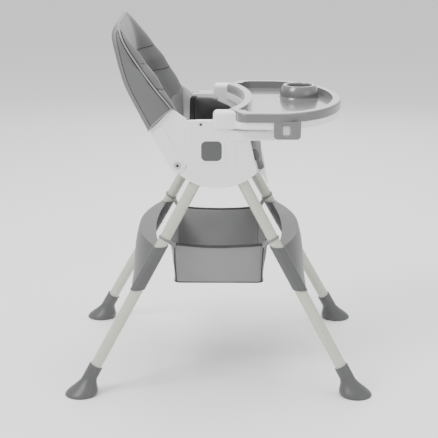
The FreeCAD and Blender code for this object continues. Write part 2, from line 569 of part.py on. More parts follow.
def tray_top():
    slab = prism_z(tray_outline(0), TRAY_Z0, TRAY_Z1)
    slab = rounded(slab, 6.0, lambda e: e.BoundBox.ZMin > TRAY_Z1 - 1e-4)
    recess = prism_z(tray_outline(TRAY_RIM), TRAY_FLOOR_Z, TRAY_Z1 + 20)
    whole = slab.cut(recess)
    pieces = [whole, cup_ring()]
    for _, sy in SIDES:
        tab = rounded_rect(xz, (TAB_X0 + TAB_X1) / 2, (TAB_Z + 735) / 2, TAB_X1 - TAB_X0, 735 - TAB_Z, 10)
        tab = side_prism(tab, TRAY_HALF_W - TAB_T, TRAY_HALF_W, sy)
        pieces.append(tab.common(box(0, 400, -300, 300, TAB_Z, TRAY_Z0 + 3)))
    whole = joined(pieces)
    windows = []
    for _, sy in SIDES:
        window = rounded_rect(xz, LATCH_X, LATCH_Z, LATCH_W + 2, LATCH_H + 2, 2.5)
        windows.append(side_prism(window, TRAY_HALF_W - 12, TRAY_HALF_W + 2, sy))
    return whole.cut(windows)


def tray_base():
    """White carrier under the tray, with a saddle and a runner on each arm."""
    plate = prism_z(tray_outline(BASE_INSET, -2 * BASE_INSET), BASE_Z0, TRAY_Z0 - GAP)
    hollow = prism_z(tray_outline(BASE_INSET + BASE_WALL, -2 * BASE_INSET), BASE_Z0 - 1, TRAY_Z0 - GAP - BASE_WALL)
    pieces = [plate.cut(hollow)]
    over_tray = prism_z(tray_outline(0), TRAY_Z0 - GAP, 900)
    clear = GAP + 0.2
    latch_box = LATCH_X - LATCH_W / 2 - 7, LATCH_X + LATCH_W / 2 + 7, LATCH_Z - LATCH_H / 2 - 5, TRAY_Z0 - 2
    for _, sy in SIDES:
        block = box(BLOCK_X0, BLOCK_X1, sy * (SHELL_IN - 6), sy * BLOCK_OUT, BLOCK_Z0, BLOCK_Z1)
        block = rounded(block, 11.0, lambda e: abs(e.BoundBox.XMin - BLOCK_X0) < 1e-3 or e.BoundBox.ZMin > BLOCK_Z1 - 1)
        block = block.cut([over_tray, box(-100, 200, sy * (SHELL_IN - clear), sy * (PANEL_OUT + clear), 600, ARM_Z + clear)])
        runner = box(BLOCK_X0 + 11, RAIL_X1 - 16, sy * (SHELL_IN - 6), sy * (SHELL_IN - clear), 668, TRAY_Z0 - 2)
        tongue = box(RAIL_X0 + 4, RAIL_X1 - 16, sy * (SHELL_IN - clear - 1), sy * (SHELL_IN + GROOVE_DEPTH - clear),
                     GROOVE_Z0 + GAP, GROOVE_Z1 - GAP)
        pocket_wall = box(latch_box[0], latch_box[1], sy * (TRAY_HALF_W - 28), sy * (TRAY_HALF_W - TAB_T - 1.5),
                          latch_box[2], latch_box[3])
        pieces += [block, runner, tongue, pocket_wall]
    whole = joined(pieces)
    tools = []
    for _, sy in SIDES:
        tools.append(box(LATCH_X - LATCH_W / 2 - GAP, LATCH_X + LATCH_W / 2 + GAP, sy * (TRAY_HALF_W - 25),
                         sy * (TRAY_HALF_W + 1), LATCH_Z - LATCH_H / 2 - GAP, LATCH_Z + LATCH_H / 2 + GAP))
    return whole.cut(tools)


def tray_latch(sy):
    """A sprung tongue that shows in the window of the tray's side tab."""
    outer = TRAY_HALF_W - TAB_T - GAP
    tongue = box(LATCH_X - LATCH_W / 2, LATCH_X + LATCH_W / 2, sy * (TRAY_HALF_W - 25 + LATCH_TRAVEL + 1), sy * outer,
                 LATCH_Z - LATCH_H / 2, LATCH_Z + LATCH_H / 2)
    return rounded(tongue, 2.0, lambda e: abs(abs(e.BoundBox.YMin) - outer) < 1e-3 and
                   abs(abs(e.BoundBox.YMax) - outer) < 1e-3)


# ---- basket ----
def basket_wire(corner, z, inset):
    x, y, bulge = corner[0] - inset, corner[1] - inset, corner[2] - inset
    return Part.Wire([Part.Arc(V(x, -y, z), V(bulge, 0, z), V(x, y, z)).toShape(),
                      Part.LineSegment(V(x, y, z), V(-x, y, z)).toShape(),
                      Part.Arc(V(-x, y, z), V(-bulge, 0, z), V(-x, -y, z)).toShape(),
                      Part.LineSegment(V(-x, -y, z), V(x, -y, z)).toShape()])


def basket_block(inset, z0, z1):
    """The basket's outer form, or its inside when `inset` is its wall."""
    return Part.makeLoft([basket_wire(BASKET_LOW, z0, inset), basket_wire(BASKET_TOP, z1, inset)], True, True)


def storage_basket():
    outer = basket_block(0, BASKET_Z0, BASKET_Z1)
    inner = basket_block(BASKET_WALL, BASKET_Z0 + BASKET_WALL, BASKET_Z1 + 0.5)
    return outer.cut(inner)


def basket_strap(sx, sy):
    """A loop round the leg with a tab down to the basket's corner."""
    z0, z1 = 397.0, 412.0
    tube = leg_rod(sx, sy, TUBE_D / 2 + 0.15, z0 - 40, z1 + 40)
    loop = leg_rod(sx, sy, TUBE_D / 2 + 1.8, z0, z1)
    a, b = leg_point(sx, sy, z0 + 6), V(sx * (BASKET_TOP[0] - 2), sy * (BASKET_TOP[1] - 2), BASKET_Z1 - 6)
    along = (b - a).normalize()
    bar = Part.makeBox((b - a).Length, 3.0, 13.0, V(0, -1.5, -6.5))
    across = V(0, 0, 1).cross(along).normalize()
    bar.Placement = FreeCAD.Placement(a, FreeCAD.Rotation(along, across, along.cross(across), "XYZ"))
    return joined([loop, bar]).cut([tube, basket_block(-GAP, BASKET_Z0, BASKET_Z1 + 1)])


# ---- write the pieces ----
def build():
    parts = {"seat_shell": seat_shell(), "front_apron": front_apron(), "seat_cushion": seat_cushion(),
             "calf_flap": calf_flap(), "front_brace": brace(1), "rear_brace": brace(-1),
             "panel_screws": screws(), "pivot_bolts": pivot_bolts(), "backrest_shell": backrest_shell(),
             "backrest_cover": backrest_cover(), "tray_top": tray_top(), "tray_base": tray_base(),
             "crotch_strap": crotch_strap(), "buckle": buckle(), "buckle_button": buckle_button(),
             "storage_basket": storage_basket()}
    for side, sy in SIDES:
        parts["side_panel_" + side] = side_panel(sy)
        parts["recline_button_" + side] = recline_button(sy)
        parts["tray_latch_" + side] = tray_latch(sy)
        parts["shoulder_strap_" + side] = shoulder_strap(sy)
        parts["waist_strap_" + side] = waist_strap(sy)
    for corner, sx, sy in CORNERS:
        lower = leg_tube(sx, sy, FOOT_BORE_Z + 0.2, TUBE_JOINT_Z - 0.2)
        upper = leg_tube(sx, sy, TUBE_JOINT_Z + 0.2, LEG_TOP_Z - 0.3)
        parts["lower_leg_" + corner] = lower.cut(snap_hole(sx, sy, SNAP_Z["lower"]))
        parts["upper_leg_" + corner] = upper.cut(snap_hole(sx, sy, SNAP_Z["upper"]))
        parts["foot_" + corner] = foot(sx, sy)
        parts["basket_strap_" + corner] = basket_strap(sx, sy)
        for level, z in SNAP_Z.items():
            parts["snap_" + level + "_" + corner] = snap_button(sx, sy, z)
    return parts


os.makedirs("parts", exist_ok=True)
for name, shape in build().items():
    shape.exportStep("parts/" + name + ".step")
    box_ = shape.BoundBox
    print(name, len(shape.Solids), shape.isValid(), round(shape.Volume / 1000.0, 2), "cm3",
          [round(v, 1) for v in (box_.XMin, box_.XMax, box_.YMin, box_.YMax, box_.ZMin, box_.ZMax)])
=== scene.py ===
import json
import math

import bmesh
import bpy
from bpy.props import FloatProperty, FloatVectorProperty, IntProperty, PointerProperty
from mathutils import Euler, Matrix, Vector, noise
from mathutils.bvhtree import BVHTree

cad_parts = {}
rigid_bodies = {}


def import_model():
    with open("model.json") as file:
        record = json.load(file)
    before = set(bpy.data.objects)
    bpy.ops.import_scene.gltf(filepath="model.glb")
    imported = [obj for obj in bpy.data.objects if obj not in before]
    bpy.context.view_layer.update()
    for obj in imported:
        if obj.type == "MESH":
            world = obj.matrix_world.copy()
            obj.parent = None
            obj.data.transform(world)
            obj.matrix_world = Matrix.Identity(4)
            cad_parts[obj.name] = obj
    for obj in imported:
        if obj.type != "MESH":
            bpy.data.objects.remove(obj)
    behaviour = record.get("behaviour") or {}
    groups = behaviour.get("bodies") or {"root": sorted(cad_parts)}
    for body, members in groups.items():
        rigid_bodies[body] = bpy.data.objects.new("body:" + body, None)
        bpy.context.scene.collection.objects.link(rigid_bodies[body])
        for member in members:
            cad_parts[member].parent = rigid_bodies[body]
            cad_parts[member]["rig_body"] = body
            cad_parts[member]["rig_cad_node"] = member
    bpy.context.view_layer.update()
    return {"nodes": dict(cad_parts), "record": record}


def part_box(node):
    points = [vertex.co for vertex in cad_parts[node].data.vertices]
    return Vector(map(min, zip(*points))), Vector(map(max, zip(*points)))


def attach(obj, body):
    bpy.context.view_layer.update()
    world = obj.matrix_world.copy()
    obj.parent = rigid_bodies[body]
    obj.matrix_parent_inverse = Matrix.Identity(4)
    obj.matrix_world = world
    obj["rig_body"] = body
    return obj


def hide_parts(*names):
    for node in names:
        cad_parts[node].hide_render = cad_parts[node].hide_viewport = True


bl_info = {
    "name": "Baby High Chair",
    "version": (1, 0, 0),
    "blender": (4, 5, 0),
    "location": "View3D > Sidebar > High Chair",
    "description": "Soft goods, trims and finishes of a baby high chair around its fixed frame",
    "category": "Object",
}

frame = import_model()
NODES = frame["nodes"]
MM = 0.001
FOOT_X, FOOT_Y = 0.362, 0.299           # where each leg's middle line meets the floor
SPLAY_X, SPLAY_Y = 0.547, 0.171         # how far a leg leans for each unit of height
TUBE_D, LOOP_Z = 0.0295, 0.4045         # leg tube and the height of the basket's loops
STRAP_W, STRAP_T = 0.038, 0.0018
SHOULDER_Y = 0.070
SIDES = (("left", 1), ("right", -1))
CORNERS = (("front_left", 1, 1), ("front_right", 1, -1), ("rear_left", -1, 1), ("rear_right", -1, -1))


def mm(*values):
    return Vector([v * MM for v in values])


# ---------------------------------------------------------------- properties
def colour(name, description, default):
    return FloatVectorProperty(name=name, description=description, default=default, size=3,
                               subtype="COLOR", min=0.0, max=1.0)


class ChairFinishes(bpy.types.PropertyGroup):
    shell: colour("Shell", "White moulded seat, panels and tray carrier", (0.86, 0.86, 0.86))
    tray: colour("Tray", "Glossy top tray", (0.150, 0.151, 0.153))
    moulding: colour("Braces and feet", "Grey moulded braces, feet and buttons", (0.085, 0.086, 0.088))
    latch: colour("Latch", "Tongue in the tray's side window", (0.62, 0.62, 0.61))
    paint: colour("Leg paint", "Powder coat of the leg tubes", (0.50, 0.51, 0.43))
    steel: colour("Steel", "Screws, bolts and snap buttons", (0.55, 0.55, 0.56))
    cover: colour("Cover", "Artificial leather of the backrest", (0.130, 0.131, 0.133))
    cushion: colour("Cushion", "Dark artificial leather of the seat", (0.022, 0.022, 0.023))
    welt: colour("Welt", "Piping of the cover", (0.26, 0.26, 0.264))
    # The thread colour is also used for the painted shade in the welt grooves.
    thread: colour("Thread", "Dark sewing thread", (0.020, 0.020, 0.021))
    basket: colour("Basket", "Woven cloth of the basket", (0.24, 0.241, 0.244))
    binding: colour("Binding", "Tape round the basket's edges", (0.045, 0.046, 0.047))
    webbing: colour("Webbing", "Harness straps and buckle", (0.012, 0.012, 0.013))


class CoverSizes(bpy.types.PropertyGroup):
    half_width: FloatProperty(name="Half width", description="Half width of the cover at its hem",
                              default=0.2225, unit="LENGTH")
    top_half_width: FloatProperty(name="Top half width", description="Half width just under the rounded top",
                                  default=0.196, unit="LENGTH")
    top_round: FloatProperty(name="Top round", description="Radius of the two top corners",
                             default=0.052, unit="LENGTH")
    puff: FloatProperty(name="Puff", description="How far the padding crowns between seams",
                        default=0.004, unit="LENGTH")
    welt: FloatProperty(name="Welt", description="Radius of the piping", default=0.0024, unit="LENGTH")
    stitch: FloatProperty(name="Stitch", description="Distance from stitch to stitch", default=0.0062,
                          unit="LENGTH")
    rows: IntProperty(name="Rows", description="Mesh rows from hem to top", default=84, min=20)


class BasketSizes(bpy.types.PropertyGroup):
    cloth: FloatProperty(name="Cloth", description="Thickness of the cloth", default=0.0016, unit="LENGTH")
    sag: FloatProperty(name="Sag", description="Drop of the long rims at mid-length", default=0.006,
                       unit="LENGTH")
    belly: FloatProperty(name="Belly", description="Outward bulge of the walls", default=0.004,
                         unit="LENGTH")
    corner: FloatProperty(name="Corner", description="Radius of the upright corners", default=0.016,
                          unit="LENGTH")
    binding: FloatProperty(name="Binding", description="Radius of the bound edges", default=0.0026,
                           unit="LENGTH")


class StudioSizes(bpy.types.PropertyGroup):
    distance: FloatProperty(name="Distance", description="Camera distance from the chair's middle",
                            default=3.3407, unit="LENGTH")
    height: FloatProperty(name="Height", description="Camera height", default=1.3219, unit="LENGTH")
    pitch: FloatProperty(name="Pitch", description="How far the camera looks down", default=0.2707,
                         unit="ROTATION")
    roll: FloatProperty(name="Roll", description="Camera roll", default=0.0031, unit="ROTATION")
    lens: FloatProperty(name="Lens", description="Focal length in millimetres", default=102.72)
    floor: FloatProperty(name="Floor", description="Half size of the floor", default=20.0, unit="LENGTH")


# ---------------------------------------------------------------- shader groups
def new_group(name, inputs, outputs):
    """An empty shader group with its sockets: (name, type, default) in, (name, type) out."""
    tree = bpy.data.node_groups.new(name, "ShaderNodeTree")
    for label, kind, default in inputs:
        socket = tree.interface.new_socket(name=label, in_out="INPUT", socket_type=kind)
        socket.default_value = default
    for label, kind in outputs:
        tree.interface.new_socket(name=label, in_out="OUTPUT", socket_type=kind)
    return tree, tree.nodes.new("NodeGroupInput"), tree.nodes.new("NodeGroupOutput")


def scaled(tree, source, factor):
    node = tree.nodes.new("ShaderNodeMath")
    node.operation = "MULTIPLY"
    tree.links.new(source, node.inputs[0])
    if isinstance(factor, (int, float)):
        node.inputs[1].default_value = factor
    else:
        tree.links.new(factor, node.inputs[1])
    return node.outputs[0]


def noise_node(tree, scale, detail=3.0, rough=0.55):
    coords = tree.nodes.new("ShaderNodeTexCoord")
    node = tree.nodes.new("ShaderNodeTexNoise")
    tree.links.new(coords.outputs["Object"], node.inputs["Vector"])
    if isinstance(scale, (int, float)):
        node.inputs["Scale"].default_value = scale
    else:
        tree.links.new(scale, node.inputs["Scale"])
    node.inputs["Detail"].default_value = detail
    node.inputs["Roughness"].default_value = rough
    return node


def tint_group():
    """Broad, soft random colour change over a surface, and a painted highlight that lightens raised edges."""
    tree, given, out = new_group("Tint and painted edge highlight", [
        ("Colour", "NodeSocketColor", (0.5, 0.5, 0.5, 1)), ("Deep", "NodeSocketColor", (0.4, 0.4, 0.4, 1)),
        ("Edge", "NodeSocketColor", (0.6, 0.6, 0.6, 1)), ("Scale", "NodeSocketFloat", 6.0),
        ("Edge highlight", "NodeSocketFloat", 0.5)], [("Colour", "NodeSocketColor"), ("Mask", "NodeSocketFloat")])
    mottle = noise_node(tree, given.outputs["Scale"])
    blend = tree.nodes.new("ShaderNodeMix")
    blend.data_type = "RGBA"
    tree.links.new(mottle.outputs["Fac"], blend.inputs["Factor"])
    tree.links.new(given.outputs["Deep"], blend.inputs["A"])
    tree.links.new(given.outputs["Colour"], blend.inputs["B"])
    # Painted highlight: where pointiness is high, on raised edges, the colour is lightened towards the Edge
    # colour.
    shape = tree.nodes.new("ShaderNodeNewGeometry")
    ramp = tree.nodes.new("ShaderNodeValToRGB")
    ramp.color_ramp.elements[0].position = 0.52
    ramp.color_ramp.elements[1].position = 0.62
    tree.links.new(shape.outputs["Pointiness"], ramp.inputs["Fac"])
    highlit = scaled(tree, ramp.outputs["Color"], given.outputs["Edge highlight"])
    edge = tree.nodes.new("ShaderNodeMix")
    edge.data_type = "RGBA"
    tree.links.new(highlit, edge.inputs["Factor"])
    tree.links.new(blend.outputs["Result"], edge.inputs["A"])
    tree.links.new(given.outputs["Edge"], edge.inputs["B"])
    tree.links.new(edge.outputs["Result"], out.inputs["Colour"])
    tree.links.new(mottle.outputs["Fac"], out.inputs["Mask"])
    return tree


def grain_group():
    """Fine grain of moulded plastic or paint, with the slow waviness of a moulding."""
    tree, given, out = new_group("Moulded grain", [
        ("Scale", "NodeSocketFloat", 900.0), ("Wave", "NodeSocketFloat", 0.5)],
        [("Height", "NodeSocketFloat")])
    fine = noise_node(tree, given.outputs["Scale"], 2.0)
    broad = noise_node(tree, 9.0, 2.0)
    total = tree.nodes.new("ShaderNodeMath")
    total.operation = "ADD"
    tree.links.new(scaled(tree, fine.outputs["Fac"], 0.12), total.inputs[0])
    tree.links.new(scaled(tree, broad.outputs["Fac"], given.outputs["Wave"]), total.inputs[1])
    tree.links.new(total.outputs[0], out.inputs["Height"])
    return tree


def leather_group():
    """Pebbled grain of artificial leather with soft creases."""
    tree, given, out = new_group("Leather grain", [("Scale", "NodeSocketFloat", 700.0)],
                                 [("Height", "NodeSocketFloat")])
    coords = tree.nodes.new("ShaderNodeTexCoord")
    cells = tree.nodes.new("ShaderNodeTexVoronoi")
    cells.feature = "DISTANCE_TO_EDGE"
    tree.links.new(coords.outputs["Object"], cells.inputs["Vector"])
    tree.links.new(given.outputs["Scale"], cells.inputs["Scale"])
    ramp = tree.nodes.new("ShaderNodeValToRGB")
    ramp.color_ramp.elements[1].position = 0.25
    tree.links.new(cells.outputs["Distance"], ramp.inputs["Fac"])
    soft = noise_node(tree, 45.0, 4.0)
    total = tree.nodes.new("ShaderNodeMath")
    total.operation = "ADD"
    tree.links.new(scaled(tree, ramp.outputs["Color"], 0.30), total.inputs[0])
    tree.links.new(soft.outputs["Fac"], total.inputs[1])
    tree.links.new(total.outputs[0], out.inputs["Height"])
    return tree


def weave_group():
    """Plain weave: threads across each other on upright and level faces alike."""
    tree, given, out = new_group("Plain weave", [("Scale", "NodeSocketFloat", 500.0)],
                                 [("Height", "NodeSocketFloat")])
    coords = tree.nodes.new("ShaderNodeTexCoord")
    waves = []
    for direction in ("DIAGONAL", "Z"):
        wave = tree.nodes.new("ShaderNodeTexWave")
        wave.bands_direction = direction
        wave.inputs["Distortion"].default_value = 0.6
        tree.links.new(coords.outputs["Object"], wave.inputs["Vector"])
        tree.links.new(given.outputs["Scale"], wave.inputs["Scale"])
        waves.append(wave.outputs["Fac"])
    mixed = tree.nodes.new("ShaderNodeMath")
    mixed.operation = "MAXIMUM"
    tree.links.new(waves[0], mixed.inputs[0])
    tree.links.new(waves[1], mixed.inputs[1])
    tree.links.new(mixed.outputs[0], out.inputs["Height"])
    return tree


GROUPS = {}


def group(name):
    makers = {"tint": tint_group, "grain": grain_group, "leather": leather_group, "weave": weave_group}
    if name not in GROUPS:
        GROUPS[name] = makers[name]()
    return GROUPS[name]


# ---------------------------------------------------------------- materials
def shade(rgb, factor):
    return tuple(min(1.0, c * factor) for c in rgb) + (1.0,)


def finish(name, rgb, roughness, surface, scale, bump, depth,
           edge_highlight=0.3, deep=0.9, light=1.12, spread=0.06, **sockets):
    """A Principled material: tint group for colour with its painted edge highlight, and for roughness; a
    surface group for height.
    """
    mat = bpy.data.materials.new(name)
    mat.use_nodes = True
    tree = mat.node_tree
    shader = tree.nodes["Principled BSDF"]
    for label, value in sockets.items():
        shader.inputs[label.replace("_", " ")].default_value = value
    tint = tree.nodes.new("ShaderNodeGroup")
    tint.node_tree = group("tint")
    tint.inputs["Colour"].default_value = shade(rgb, 1.0)
    tint.inputs["Deep"].default_value = shade(rgb, deep)
    # Edge colour and strength of the painted highlight on raised edges.
    tint.inputs["Edge"].default_value = shade(rgb, light)
    tint.inputs["Edge highlight"].default_value = edge_highlight
    tree.links.new(tint.outputs["Colour"], shader.inputs["Base Color"])
    relief = tree.nodes.new("ShaderNodeGroup")
    relief.node_tree = group(surface)
    relief.inputs["Scale"].default_value = scale
    level = tree.nodes.new("ShaderNodeMapRange")
    level.inputs["To Min"].default_value = roughness - spread
    level.inputs["To Max"].default_value = roughness + spread
    tree.links.new(tint.outputs["Mask"], level.inputs["Value"])
    tree.links.new(level.outputs["Result"], shader.inputs["Roughness"])
    node = tree.nodes.new("ShaderNodeBump")
    node.inputs["Strength"].default_value = bump
    node.inputs["Distance"].default_value = depth
    tree.links.new(relief.outputs["Height"], node.inputs["Height"])
    tree.links.new(node.outputs["Normal"], shader.inputs["Normal"])
    return mat


def dress(obj, mat, smooth=True):
    obj.data.materials.clear()
    obj.data.materials.append(mat)
    if smooth and obj.type == "MESH":
        for poly in obj.data.polygons:
            poly.use_smooth = True
    return obj


# ---------------------------------------------------------------- mesh helpers
def spline(points, count):
    """Points evenly spaced along a Catmull-Rom line through the given ones."""
    pts = [Vector(p) for p in points]
    ends = [pts[0] * 2 - pts[1]] + pts + [pts[-1] * 2 - pts[-2]]
    fine, steps = [], 24
    for a, b, c, d in zip(ends, ends[1:], ends[2:], ends[3:]):
        for i in range(steps):
            t = i / steps
            fine.append(0.5 * ((2 * b) + (c - a) * t + (2 * a - 5 * b + 4 * c - d) * t * t
                               + (3 * b - a - 3 * c + d) * t ** 3))
    fine.append(pts[-1])
    lengths = [0.0]
    for p, q in zip(fine, fine[1:]):
        lengths.append(lengths[-1] + (q - p).length)
    result, k = [], 0
    for i in range(count):
        want = lengths[-1] * i / (count - 1)
        while k < len(lengths) - 2 and lengths[k + 1] < want:
            k += 1
        span = lengths[k + 1] - lengths[k]
        t = (want - lengths[k]) / span if span else 0
        result.append(fine[k].lerp(fine[k + 1], min(max(t, 0), 1)))
    return result


def mesh_object(name, verts, faces):
    mesh = bpy.data.meshes.new(name)
    mesh.from_pydata([tuple(v) for v in verts], [], faces)
    mesh.validate()
    mesh.update()
    obj = bpy.data.objects.new(name, mesh)
    bpy.context.scene.collection.objects.link(obj)
    return obj


def loft(name, loops, closed=True, cap_start=False, cap_end=False):
    """A skin over equal loops of points."""
    n = len(loops[0])
    verts = [p for loop in loops for p in loop]
    faces = []
    for i in range(len(loops) - 1):
        for j in range(n if closed else n - 1):
            k = (j + 1) % n
            faces.append((i * n + j, i * n + k, (i + 1) * n + k, (i + 1) * n + j))
    if cap_start:
        faces.append(tuple(reversed(range(n))))
    if cap_end:
        faces.append(tuple(range((len(loops) - 1) * n, len(loops) * n)))
    obj = mesh_object(name, verts, faces)
    bm = bmesh.new()
    bm.from_mesh(obj.data)
    bmesh.ops.triangulate(bm, faces=[f for f in bm.faces if len(f.verts) > 4])
    bmesh.ops.recalc_face_normals(bm, faces=bm.faces)
    bm.to_mesh(obj.data)
    bm.free()
    return obj


def tube(name, points, radius, sides=8, closed=False, flat=1.0, up=Vector((0, 0, 1))):
    """A round or flattened tube along points."""
    loops = []
    count = len(points)
    for i, p in enumerate(points):
        ahead = points[(i + 1) % count] if closed or i < count - 1 else p
        behind = points[i - 1] if closed or i > 0 else p
        along = (ahead - behind).normalized()
        side = along.cross(up)
        side = side.normalized() if side.length > 1e-4 else along.orthogonal().normalized()
        over = side.cross(along).normalized()
        loops.append([p + side * radius * math.cos(a) + over * radius * flat * math.sin(a)
                      for a in (2 * math.pi * k / sides for k in range(sides))])
    if closed:
        loops.append(loops[0])
        obj = loft(name, loops)
        bm = bmesh.new()
        bm.from_mesh(obj.data)
        bmesh.ops.remove_doubles(bm, verts=bm.verts, dist=1e-6)
        bm.to_mesh(obj.data)
        bm.free()
        return obj
    return loft(name, loops, cap_start=True, cap_end=True)


def ribbon(name, points, across, width, thick):
    """A flat woven strap along points, with rounded selvedges and a slight crown."""
    loops = []
    count = len(points)
    half = width / 2
    for i, p in enumerate(points):
        along = (points[min(i + 1, count - 1)] - points[max(i - 1, 0)]).normalized()
        side = (across - along * across.dot(along)).normalized()
        over = side.cross(along)
        ring = []
        for s, h in ((-1, 0), (-0.97, 0.8), (-0.5, 1.0), (0, 1.08), (0.5, 1.0), (0.97, 0.8),
                     (1, 0), (0.97, -0.8), (0.5, -1.0), (0, -1.0), (-0.5, -1.0), (-0.97, -0.8)):
            ring.append(p + side * half * s + over * thick / 2 * h)
        loops.append(ring)
    return loft(name, loops, cap_start=True, cap_end=True)


def joined(name, objects):
    """One object from several meshes that share a finish."""
    verts, faces = [], []
    for obj in objects:
        base = len(verts)
        verts += [v.co.copy() for v in obj.data.vertices]
        faces += [tuple(base + i for i in p.vertices) for p in obj.data.polygons]
        bpy.data.objects.remove(obj)
    return mesh_object(name, verts, faces)


def stitches(name, points, pitch, radius, mat, length=0.62):
    """A row of short raised stitches along a line of points."""
    total = [0.0]
    for p, q in zip(points, points[1:]):
        total.append(total[-1] + (q - p).length)

    def at(distance):
        for i in range(len(points) - 1):
            if total[i + 1] >= distance:
                t = (distance - total[i]) / max(total[i + 1] - total[i], 1e-9)
                return points[i].lerp(points[i + 1], t)
        return points[-1].copy()

    pieces = []
    steps = int(total[-1] / pitch)
    for i in range(steps):
        a = at(i * pitch)
        b = at(i * pitch + pitch * length)
        if (b - a).length < radius:
            continue
        pieces.append(tube("stitch", [a, a.lerp(b, 0.25), a.lerp(b, 0.75), b], radius, 5))
    obj = joined(name, pieces)
    return dress(obj, mat)


def surface_of(obj):
    bm = bmesh.new()
    bm.from_mesh(obj.data)
    tree = BVHTree.FromBMesh(bm)
    bm.free()
    return tree


def puffed(node, name, cap, shrink=0.0015, voxel=0.005):
    """The CAD solid of a pad, swollen by a cloth simulation and smoothed."""
    obj = NODES[node].copy()
    obj.data = NODES[node].data.copy()
    obj.name = name
    obj.parent = None
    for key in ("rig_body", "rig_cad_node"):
        if key in obj:
            del obj[key]
    bpy.context.scene.collection.objects.link(obj)
    bm = bmesh.new()
    bm.from_mesh(obj.data)
    bmesh.ops.remove_doubles(bm, verts=bm.verts, dist=1e-5)
    bmesh.ops.recalc_face_normals(bm, faces=bm.faces)
    bm.normal_update()
    for v in bm.verts:
        v.co -= v.normal * shrink
    bm.to_mesh(obj.data)
    bm.free()
    obj.data.remesh_voxel_size = voxel
    bpy.ops.object.select_all(action="DESELECT")
    bpy.context.view_layer.objects.active = obj
    obj.select_set(True)
    bpy.ops.object.voxel_remesh()
    rest = [v.co.copy() for v in obj.data.vertices]
    cloth = obj.modifiers.new("Cloth", "CLOTH")
    cloth.settings.use_pressure = True
    cloth.settings.uniform_pressure_force = 4
    cloth.settings.effector_weights.gravity = 0
    cloth.settings.quality = 5
    for step in range(1, 21):
        bpy.context.scene.frame_set(step)
    swollen = obj.evaluated_get(bpy.context.evaluated_depsgraph_get())
    moved = [v.co.copy() for v in swollen.data.vertices]
    obj.modifiers.remove(cloth)
    for v, a, b in zip(obj.data.vertices, rest, moved):
        step = b - a
        v.co = a + step * min(1.0, cap / max(step.length, 1e-9))
    bpy.context.scene.frame_set(1)
    smooth = obj.modifiers.new("Smooth", "SMOOTH")
    smooth.iterations = 4
    smooth.factor = 0.5
    fine = obj.modifiers.new("Fine", "SUBSURF")
    fine.levels = fine.render_levels = 1
    final = bpy.data.meshes.new_from_object(obj.evaluated_get(bpy.context.evaluated_depsgraph_get()))
    obj.modifiers.clear()
    obj.data = final
    return obj


# ---------------------------------------------------------------- the backrest cover
REAR = [(-182, 686), (-232, 780), (-253, 837), (-269, 903), (-272, 930), (-266, 947)]
PIPED = [(-121, 743), (-126, 750), (-164, 796), (-202, 847), (-239, 903), (-258, 947)]
RIM = [(-104, 726), (-119, 757), (-139, 793), (-167, 835), (-212, 893), (-256, 948)]
PAD = [(-100, 634), (-133, 675), (-198, 766), (-219, 823), (-235, 889), (-250, 932), (-258, 947)]
HEM_FRONT, HEM_REAR = (-121, 743), (-182, 686)


def half_width(z, sizes):
    """The cover's half width at a height, narrowing above the seat and round at the top corners."""
    straight, top = 0.778, 0.948
    t = min(max((z - straight) / (top - straight), 0), 1)
    wide = sizes.half_width + (sizes.top_half_width - sizes.half_width) * t
    over = z - (top - sizes.top_round)
    if over > 0:
        wide -= sizes.top_round - math.sqrt(max(sizes.top_round ** 2 - over ** 2, 0))
    return wide


def rail(profile, share, mix_with=None, mix=0.0, rows=80):
    """One line of the cover from hem to top: a side profile at a share of the half width."""
    line = spline([(x * MM, 0, z * MM) for x, z in profile], rows)
    if mix_with:
        other = spline([(x * MM, 0, z * MM) for x, z in mix_with], rows)
        line = [a.lerp(b, mix) for a, b in zip(line, other)]
    return line, share


def cover_loops(sizes):
    """Closed loops of points from hem to top, round the rear, the wing, the rim and the pad."""
    rows = sizes.rows
    rails = [rail(REAR, 0.0, rows=rows), rail(REAR, 0.34, rows=rows), rail(REAR, 0.68, rows=rows),
             rail(REAR, 0.9, rows=rows), rail(REAR, 0.975, PIPED, 0.05, rows),
             rail(REAR, 1.0, PIPED, 0.22, rows), rail(REAR, 1.008, PIPED, 0.5, rows),
             rail(REAR, 1.005, PIPED, 0.8, rows), rail(PIPED, 0.985, rows=rows),
             rail(PIPED, 0.965, RIM, 0.55, rows), rail(RIM, 0.91, rows=rows),
             rail(RIM, 0.85, PAD, 0.12, rows),
             rail(RIM, 0.79, PAD, 0.42, rows), rail(RIM, 0.74, PAD, 0.78, rows), rail(PAD, 0.66, rows=rows),
             rail(PAD, 0.4, rows=rows), rail(PAD, 0.2, rows=rows), rail(PAD, 0.0, rows=rows)]
    loops = []
    for i in range(rows):
        half = [Vector((line[i].x, share * half_width(line[i].z, sizes), line[i].z)) for line, share in rails]
        ring = spline(half, 61)
        mirror = [Vector((p.x, -p.y, p.z)) for p in reversed(ring[1:-1])]
        loops.append(ring + mirror)
    return loops


def seam_height(y, end_z, dip, sizes):
    return end_z - dip * (1 - min(abs(y) / sizes.half_width, 1) ** 2)


SEAMS = ((0.862, 0.032), (0.797, 0.034))


def shape_cover(obj, sizes):
    """Crowns the padding between the seams and sinks it along them."""
    for v in obj.data.vertices:
        p = v.co
        front = p.x > -0.30 and v.normal.x > 0.25 and abs(p.y) < sizes.half_width * 0.97
        soft = noise.noise(p * 14.0) * 0.0016 + noise.noise(p * 38.0) * 0.0005
        shift = soft
        if front:
            near = min(abs(p.z - seam_height(p.y, z, dip, sizes)) for z, dip in SEAMS)
            shift += sizes.puff * (min(near / 0.03, 1) - 1) * 0.8
        v.co = p + v.normal * shift
    obj.data.update()


def front_point(tree, y, z, lift=0.0):
    hit, normal, _, _ = tree.ray_cast(Vector((0.2, y, z)), Vector((-1, 0, 0)))
    return None if hit is None else hit + normal * lift


def side_point(tree, x, z, sy, lift=0.0):
    hit, normal, _, _ = tree.ray_cast(Vector((x, sy * 0.4, z)), Vector((0, -sy, 0)))
    return None if hit is None else hit + normal * lift


